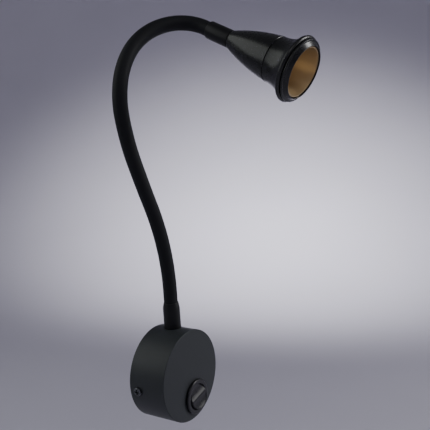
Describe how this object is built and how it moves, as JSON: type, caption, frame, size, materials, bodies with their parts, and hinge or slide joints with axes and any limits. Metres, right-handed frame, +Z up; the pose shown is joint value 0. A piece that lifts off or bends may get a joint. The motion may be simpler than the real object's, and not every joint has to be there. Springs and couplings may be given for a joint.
{
  "type": "wall reading lamp",
  "caption": "Bedside wall reading lamp: round wall box with a rocker switch, a black gooseneck, and a small bell-shaped spot head with a gold reflector.",
  "frame": {"origin": "centre of the wall box at its back face, on the wall plane, where the supply cable comes in", "axes": "+Z up, -Y out of the wall towards the room, +X to the right as seen facing the wall"},
  "size_m": [0.0803, 0.1111, 0.2581],
  "materials": {
    "powder_coat": "satin dark grey powder coat",
    "zinc_steel": "zinc-plated steel",
    "rubber": "black rubber",
    "neck_cover": "matt black plastic sleeving",
    "black_steel": "black plated screw steel",
    "gloss_black": "glossy black moulding",
    "driver_case": "white polycarbonate",
    "block_case": "natural polyamide",
    "brass": "turned brass",
    "lead_cover": "PVC wire cover",
    "head_paint": "satin black paint on spun aluminium",
    "sink_alloy": "bare aluminium",
    "board": "white solder mask",
    "phosphor": "silicone over LED phosphor",
    "gold_reflector": "gold anodised aluminium"
  },
  "bodies": {
    "base": {"base_cover": "powder_coat", "wall_bracket": "zinc_steel", "cable_grommet": "rubber", "cover_screws": "black_steel", "earth_screw": "brass", "block_screw": "zinc_steel", "terminal_block": "block_case", "clamp_screws": "zinc_steel", "led_driver": "driver_case", "switch_housing": "gloss_black", "switch_blades": "brass", "neck_ferrule": "brass", "neck_locknut": "zinc_steel", "lower_sleeve": "gloss_black", "neck_core_0": "zinc_steel", "neck_skin_0": "neck_cover", "neck_leads_0": "lead_cover"},
    "rocker": {"switch_rocker": "gloss_black"},
    "neck_1": {"neck_core_1": "zinc_steel", "neck_skin_1": "neck_cover", "neck_leads_1": "lead_cover"},
    "neck_2": {"neck_core_2": "zinc_steel", "neck_skin_2": "neck_cover", "neck_leads_2": "lead_cover"},
    "neck_3": {"neck_core_3": "zinc_steel", "neck_skin_3": "neck_cover", "neck_leads_3": "lead_cover"},
    "neck_4": {"neck_core_4": "zinc_steel", "neck_skin_4": "neck_cover", "neck_leads_4": "lead_cover"},
    "neck_5": {"neck_core_5": "zinc_steel", "neck_skin_5": "neck_cover", "neck_leads_5": "lead_cover"},
    "neck_6": {"neck_core_6": "zinc_steel", "neck_skin_6": "neck_cover", "neck_leads_6": "lead_cover"},
    "neck_7": {"neck_core_7": "zinc_steel", "neck_skin_7": "neck_cover", "neck_leads_7": "lead_cover"},
    "neck_8": {"neck_core_8": "zinc_steel", "neck_skin_8": "neck_cover", "neck_leads_8": "lead_cover"},
    "neck_9": {"neck_core_9": "zinc_steel", "neck_skin_9": "neck_cover", "neck_leads_9": "lead_cover"},
    "head": {"neck_core_10": "zinc_steel", "neck_skin_10": "neck_cover", "neck_leads_10": "lead_cover", "upper_sleeve": "gloss_black", "head_ferrule": "brass", "rear_cone": "head_paint", "front_bell": "head_paint", "heat_sink": "sink_alloy", "led_board": "board", "led_chip": "phosphor", "board_screws": "zinc_steel", "reflector": "gold_reflector"}
  },
  "joints": [
    {"name": "switch_rock", "type": "hinge", "parent": "base", "child": "rocker", "pos_m": [0.00541, -0.0267, -0.01527], "axis": [0.9426, 0, 0.3338], "range_deg": [0, 24]},
    {"name": "neck_nod_1", "type": "hinge", "parent": "base", "child": "neck_1", "pos_m": [-0.00209, -0.01158, 0.05391], "axis": [0.9962, 0.0015, 0.0871], "range_deg": [-18, 18]},
    {"name": "neck_sway_2", "type": "hinge", "parent": "neck_1", "child": "neck_2", "pos_m": [-0.00803, -0.01107, 0.08311], "axis": [0, 0.9998, -0.0175], "range_deg": [-18, 18]},
    {"name": "neck_nod_3", "type": "hinge", "parent": "neck_2", "child": "neck_3", "pos_m": [-0.01994, -0.01037, 0.11048], "axis": [0.8746, 0.0169, 0.4845], "range_deg": [-18, 18]},
    {"name": "neck_sway_4", "type": "hinge", "parent": "neck_3", "child": "neck_4", "pos_m": [-0.03331, -0.00871, 0.13725], "axis": [0, 0.9962, -0.0872], "range_deg": [-18, 18]},
    {"name": "neck_nod_5", "type": "hinge", "parent": "neck_4", "child": "neck_5", "pos_m": [-0.04279, -0.00701, 0.1655], "axis": [0.9744, 0.0079, 0.2248], "range_deg": [-18, 18]},
    {"name": "neck_sway_6", "type": "hinge", "parent": "neck_5", "child": "neck_6", "pos_m": [-0.04313, -0.0065, 0.18506], "axis": [0, 0.9998, -0.0175], "range_deg": [-18, 18]},
    {"name": "neck_nod_7", "type": "hinge", "parent": "neck_6", "child": "neck_7", "pos_m": [-0.03563, -0.00719, 0.20312], "axis": [0.829, 0.0585, -0.5561], "range_deg": [-18, 18]},
    {"name": "neck_sway_8", "type": "hinge", "parent": "neck_7", "child": "neck_8", "pos_m": [-0.02249, -0.01182, 0.21674], "axis": [0, 0.8192, 0.5736], "range_deg": [-18, 18]},
    {"name": "neck_nod_9", "type": "hinge", "parent": "neck_8", "child": "neck_9", "pos_m": [-0.00728, -0.0219, 0.22334], "axis": [0.6428, 0.752, -0.1462], "range_deg": [-18, 18]},
    {"name": "neck_sway_10", "type": "hinge", "parent": "neck_9", "child": "head", "pos_m": [0.00038, -0.03727, 0.22034], "axis": [0, -0.4226, 0.9063], "range_deg": [-18, 18]}
  ]
}
